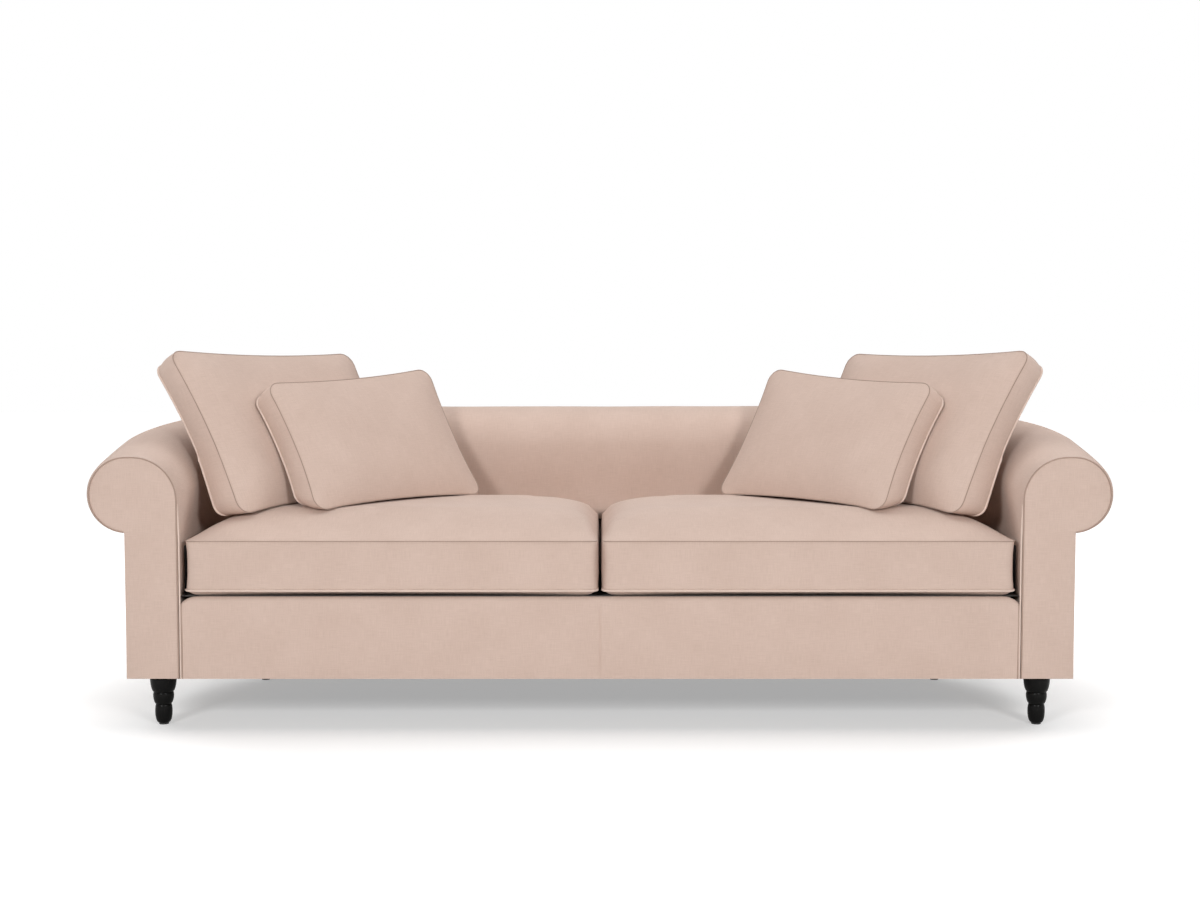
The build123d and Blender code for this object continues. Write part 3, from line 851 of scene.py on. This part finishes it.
def seam_piping(name, rims):
    """Piping along the first seam, pale as painted highlight, and a drawn-in dark line along the second, as
    painted shade.
    """
    surface = Surface()
    counts = []
    for rim, radius in zip(rims, (PIPING, SEAM_SHADE_LINE)):
        loop = np.vstack([rim, rim[:1]])
        points, uv = tube_points(resample(loop, 2 * len(rim))[:-1], radius, PIPING_SIDES, True)
        surface.grid(points, uv)
        counts.append(len(surface.faces))
    return second_material(surface.build(name, piping_painted_highlight_cloth), seam_painted_shade_cloth, counts[0])


def seat_cushion(side, word):
    """Seat cushion, shaped on the right and mirrored for the left."""
    low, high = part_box(word + "_seat_cushion_cover")
    x0, x1 = sorted((abs(low.x), abs(high.x)))
    sides = (x0 + SEAT_CLEARANCE, x1 - SEAT_CLEARANCE, low.y + SEAT_CLEARANCE, high.y - SEAT_CLEARANCE)
    cushion, rims, pinned = boxed_cushion(
        word + "_seat_cushion",
        rounded_plan(sides, SEAT_CORNERS, SEAT_DRAW),
        SEAT_GRID,
        seams=(SEAT_LOW_SEAM, SEAT_TOP_SEAM),
        crowns=(SEAT_LOW_SEAM - low.z, SEAT_TOP - SEAT_TOP_SEAM - SEAT_SWELL),
        edges=(SEAT_FOOT_EDGES, SEAT_TOP_EDGES),
        waist=SEAT_WAIST,
        seed=11.0 + side,
    )
    inflate(cushion, pinned, SEAT_CAP)
    trim = seam_piping(word + "_seat_piping", rims)
    for obj in (cushion, trim):
        if side < 0:
            obj.data.transform(Matrix.Diagonal((-1, 1, 1, 1)))
            obj.data.flip_normals()
        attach(obj, word + "_seat_cushion")
    smooth_finish(cushion)
    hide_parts(word + "_seat_cushion_cover", word + "_seat_cushion_core")
    return cushion


def scatter_frame(size, side):
    """Axes of a leaning scatter cushion: along its lower edge, up its face, and out of its face."""
    turn, lean = math.radians(size["turn"]), math.radians(size["lean"])
    level = Vector((-math.sin(turn), -math.cos(turn), 0))
    across = Vector((0, 0, 1)).cross(level)
    front = level * math.cos(lean) + Vector((0, 0, 1)) * math.sin(lean)
    axes = [across, front.cross(across), front]
    if side < 0:
        axes = [Vector((-a.x, a.y, a.z)) for a in axes]
    return axes


def settle(objects, seat, facing):
    """Lets the lower band of leaning pieces down onto the seat, their faces less than their backs."""
    bpy.context.view_layer.update()
    tree = BVHTree.FromObject(seat, bpy.context.evaluated_depsgraph_get())
    lowest = min(v.co.z for obj in objects for v in obj.data.vertices)
    foot_top = lowest + SETTLE_BAND / 4
    outward = [facing.dot(v.co) for obj in objects for v in obj.data.vertices if v.co.z < foot_top]
    behind, ahead = min(outward), max(outward)
    for obj in objects:
        for vertex in obj.data.vertices:
            hit = tree.ray_cast(vertex.co + Vector((0, 0, SETTLE_RAY_LIFT)), Vector((0, 0, -1)))[0]
            if hit is None:
                continue
            share = max(0.0, 1 - (vertex.co.z - lowest) / SETTLE_BAND)
            turned = min(1.0, max(0.0, (facing.dot(vertex.co) - behind) / (ahead - behind)))
            drop = hit.z + SETTLE_GAP - lowest
            vertex.co.z += drop * share ** SETTLE_POWER * (1 - SETTLE_FACE_HOLD * turned)
        obj.data.update()


def scatter_cushion(kind, side, word, seat):
    """Scatter cushion, shaped flat and then leaned, turned and settled where its node is."""
    name = word + "_" + kind
    size = SCATTER_SIZES[kind]
    axes = scatter_frame(size, side)
    basis = np.array([list(a) for a in axes])
    local = np.array([v.co for v in frame["nodes"][name + "_scatter_cover"].data.vertices]) @ basis.T
    w, h = size["width"] / 2, size["height"] / 2
    middle = (local.min(axis=0) + local.max(axis=0)) / 2
    middle[1] = local.max(axis=0)[1] - h
    half = size["border"] / 2
    cushion, rims, pinned = boxed_cushion(
        name + "_scatter_cushion",
        rounded_plan((-w, w, -h, h), SCATTER_CORNERS, SCATTER_DRAW),
        SCATTER_GRID,
        seams=(-half, half),
        crowns=(size["crown"] - SCATTER_BACK_FLATTER, size["crown"] + SCATTER_FACE_FULLER),
        edges=(SCATTER_EDGES, SCATTER_EDGES),
        waist=SCATTER_WAIST,
        seed=21.0 + 3 * side + len(kind) + size["turn"],
    )
    inflate(cushion, pinned, SCATTER_CAP)
    trim = seam_piping(name + "_scatter_piping", rims)
    place = Matrix(([*axes[0]], [*axes[1]], [*axes[2]])).transposed().to_4x4()
    place.translation = Vector(middle @ basis)
    slope = math.tan(math.radians(size["lean"]))
    for obj in (cushion, trim):
        for vertex in obj.data.vertices:
            x, y, z = vertex.co
            foot = (h - y) / (2 * h)
            vertex.co.y = y - z * slope * foot + size["tilt"] * x * (1 - foot)
        obj.data.transform(place)
        if side < 0:
            obj.data.flip_normals()
    facing = Vector((axes[2].x, axes[2].y, 0)).normalized()
    settle((cushion, trim), seat, facing)
    for obj in (cushion, trim):
        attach(obj, name + "_scatter")
    smooth_finish(cushion)
    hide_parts(name + "_scatter_cover", name + "_scatter_pad")


# Legs

def leg_profile():
    """Radius and height along a leg's side, each swell a quarter of a superellipse."""
    angle = np.linspace(0, math.pi / 2, LEG_SWELL_STEPS)
    rows = [[[0.0, LEG_FOOT]]]
    for (radius, low), (end_radius, high), fullness in LEG_SWELLS:
        rising = np.clip(np.sin(angle), 0, 1) ** (2 / fullness)
        falling = np.clip(np.cos(angle), 0, 1) ** (2 / fullness)
        if end_radius > radius:
            swell = (radius + (end_radius - radius) * rising, high - (high - low) * falling)
        else:
            swell = (end_radius + (radius - end_radius) * falling, low + (high - low) * rising)
        rows.append(np.stack(swell, axis=1))
    collar = LEG_SWELLS[-1][1][0]
    rows.append([[collar, LEG_TOP - LEG_SHOULDER], [0.0, LEG_TOP]])
    return np.vstack(rows)


def leg_places():
    """Middle of each leg of the frame."""
    low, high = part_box("legs")
    corners = np.array([v.co for v in frame["nodes"]["legs"].data.vertices])
    behind = corners[:, 1] > (low.y + high.y) / 2
    places = []
    for x_sign in (-1, 1):
        for rear in (False, True):
            leg = corners[(np.sign(corners[:, 0]) == x_sign) & (behind == rear)]
            places.append((leg.min(axis=0) + leg.max(axis=0)) / 2)
    return places


def turned_legs():
    """Four legs, each turned round its own middle."""
    profile = leg_profile()
    angle = np.linspace(0, 2 * math.pi, LEG_SIDES + 1)
    uv = np.stack(np.meshgrid(angle * LEG_UV_RADIUS, lengths(profile)), axis=-1)
    surface = Surface()
    for place in leg_places():
        points = np.zeros((len(profile), len(angle), 3))
        points[:, :, 0] = place[0] + profile[:, :1] * np.cos(angle)
        points[:, :, 1] = place[1] + profile[:, :1] * np.sin(angle)
        points[:, :, 2] = profile[:, 1:]
        surface.grid(points, uv)
    return smooth_finish(surface.build("turned_legs", leg_lacquer))


# Seat deck and the cloth under the frame

def plan_sheet(name, reach, front, height, sag, material, flip, shade_upturn=0.0):
    """A sheet with the sofa's plan out to a distance from the inner face; its sides may be turned up, as a
    dark strip of painted shade between arms and cushions.
    """
    bend = arc_points((CORNER_X, CORNER_Y), CORNER_RADIUS + reach, 0, 90, SHEET_CORNER_STEPS)
    edge = resample(np.vstack([[[INNER_X + reach, front]], bend]), SHEET_ROWS)
    shares = np.linspace(-1, 1, SHEET_COLUMNS)
    points = np.zeros((len(edge), len(shares), 3))
    for i, (x, y) in enumerate(edge):
        points[i, :, 0] = x * shares
        points[i, :, 1] = y
    back = BACK_FACE_Y + reach
    depth = np.minimum(points[:, :, 1] - front, back - points[:, :, 1])
    side = np.abs(points[:, :1, 0]) - np.abs(points[:, :, 0])
    rim = np.clip(np.minimum(depth, side) / SHEET_RIM, 0, 1)
    points[:, :, 2] = height - sag * (1 - (1 - rim) ** 2)
    surface = Surface()
    surface.grid(points, points[:, :, :2].copy(), flip=flip)
    # Turned-up strip of the dark sheet: painted shade in the gaps between arms and seat cushions
    if shade_upturn:
        rises = np.linspace(0, shade_upturn, UPTURN_STEPS)
        inside = points[:, 0, 1] > front + UPTURN_SETBACK
        foot = np.vstack([points[inside, -1], points[-1, -2:0:-1], points[inside, 0][::-1]])
        strip = foot[:, None] + np.stack([0 * rises, 0 * rises, rises], axis=1)[None]
        uv = np.stack(np.meshgrid(rises, lengths(foot)), axis=-1)
        surface.grid(strip, uv)
    return surface.build(name, material)


def seat_deck():
    return plan_sheet(
        "seat_deck", -DECK_GAP, FRONT_Y + DECK_SETBACK, DECK_Z, DECK_SAG, deck_cloth, flip=True, shade_upturn=SHADE_UPTURN
    )


def underside_cloth():
    return plan_sheet(
        "underside_cloth",
        POST_WIDTH - DUST_MARGIN,
        FRONT_Y + DUST_MARGIN,
        LEG_TOP + DUST_GAP,
        -DUST_RISE,
        black_lining,
        flip=False,
    )


# Assembly

def on_frame(obj, slot, *nodes):
    """Makes a piece ride on the frame and hides the nodes that it stands for; the slot argument is not used.
    """
    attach(obj, "frame")
    if nodes:
        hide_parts(*nodes)
    return obj


upholstered = on_frame(
    horseshoe(), "upholstery", "left_arm_cover", "right_arm_cover", "back_cover",
    "left_arm_padding", "right_arm_padding", "back_padding",
)
for side, word in SIDES:
    panel = on_frame(arm_facing(word + "_arm_facing_panel", side), "upholstery", word + "_arm_facing")
    on_frame(facing_piping(word + "_facing_piping", side), "upholstery")
border = on_frame(front_border(), "upholstery", "front_border", "border_padding")
for side, word in SIDES:
    seat = seat_cushion(side, word)
    for kind in SCATTER_SIZES:
        scatter_cushion(kind, side, word, seat)
on_frame(turned_legs(), "leg_lacquer", "legs")
deck = on_frame(seat_deck(), "lining", "deck_cloth", "deck_padding")
dust = on_frame(underside_cloth(), "lining", "dust_cover")

for row in frame["record"]["subparts"]:
    obj = frame["nodes"][row["node"]]
    obj.data.materials.clear()
    obj.data.materials.append(SLOT_MATERIALS[row["material_slot"]])


# Floor, light and camera

def floor():
    """Pale floor that keeps the sofa's shadow and fades into the background away from it."""
    surface = Surface()
    xs, ys = np.meshgrid(np.linspace(*FLOOR_X, FLOOR_POINTS), np.linspace(*FLOOR_Y, FLOOR_POINTS))
    points = np.dstack([xs, ys, np.zeros_like(xs)])
    surface.grid(points, points[:, :, :2].copy())
    material, tree, shader = new_material("pale_floor")
    seen = seen_rays(tree)
    pale = add_node(tree, "ShaderNodeMapRange", {"Value": seen, "To Min": 0.92, "To Max": 0.70}).outputs[0]
    tree.links.new(pale, shader.inputs["Base Color"])
    where = scaled(tree, add_node(tree, "ShaderNodeTexCoord").outputs["Object"], (0.62, 0.8, 1.0))
    away = add_node(tree, "ShaderNodeVectorMath", {0: where}, operation="LENGTH").outputs["Value"]
    fade = {"Value": away, "From Min": 0.65, "From Max": 1.10, "To Min": 0.38, "To Max": 1.0}
    far = add_node(tree, "ShaderNodeMapRange", fade, interpolation_type="SMOOTHSTEP").outputs[0]
    glow = math_node(tree, "MULTIPLY", seen, far)
    tree.links.new(glow, shader.inputs["Emission Strength"])
    set_sockets(shader, {"Roughness": 0.9, "Specular IOR Level": 0.1, "Emission Color": (1, 1, 1, 1)})
    surface.build("floor", material)


def studio_world():
    """Even light on the sofa, and white where the background is seen."""
    world = bpy.data.worlds.new("studio")
    world.use_nodes = True
    tree = world.node_tree
    background = tree.nodes["Background"]
    levels = {"Value": seen_rays(tree), "To Min": WORLD_LIGHT, "To Max": 1.0}
    strength = add_node(tree, "ShaderNodeMapRange", levels).outputs[0]
    background.inputs["Color"].default_value = (1, 1, 1, 1)
    tree.links.new(strength, background.inputs["Strength"])
    bpy.context.scene.world = world


def lamp(name, place, target, size, power):
    """An area lamp that points at a target."""
    data = bpy.data.lights.new(name, "AREA")
    data.shape = "RECTANGLE"
    data.size, data.size_y = size
    data.energy = power
    obj = bpy.data.objects.new(name, data)
    obj.location = place
    obj.rotation_euler = (Vector(target) - Vector(place)).to_track_quat("-Z", "Y").to_euler()
    bpy.context.scene.collection.objects.link(obj)


floor()
studio_world()
lamp("top_light", place=(0.0, 0.5, 3.6), target=(0, -0.05, 0.3), size=(4.4, 2.4), power=56)
lamp("left_light", place=(-2.2, -4.8, 2.2), target=(0, 0, 0.4), size=(1.1, 1.1), power=99)
lamp("right_light", place=(2.2, -4.8, 2.2), target=(0, 0, 0.4), size=(1.1, 1.1), power=101)
for x_sign in (-1, 1):
    lamp(
        f"arm_light_{x_sign + 1}",
        place=(2.7 * x_sign, 0.3, 2.5),
        target=(0.95 * x_sign, 0, 0.6),
        size=(1.2, 1.6),
        power=24,
    )

camera_data = bpy.data.cameras.new("camera")
camera_data.sensor_width = CAMERA_SENSOR
camera_data.lens = CAMERA_LENS
camera = bpy.data.objects.new("camera", camera_data)
camera.location = CAMERA_PLACE
camera.rotation_euler = (math.radians(90 - CAMERA_PITCH), 0, 0)
bpy.context.scene.collection.objects.link(camera)
bpy.context.scene.camera = camera
bpy.context.scene.view_settings.view_transform = "Standard"
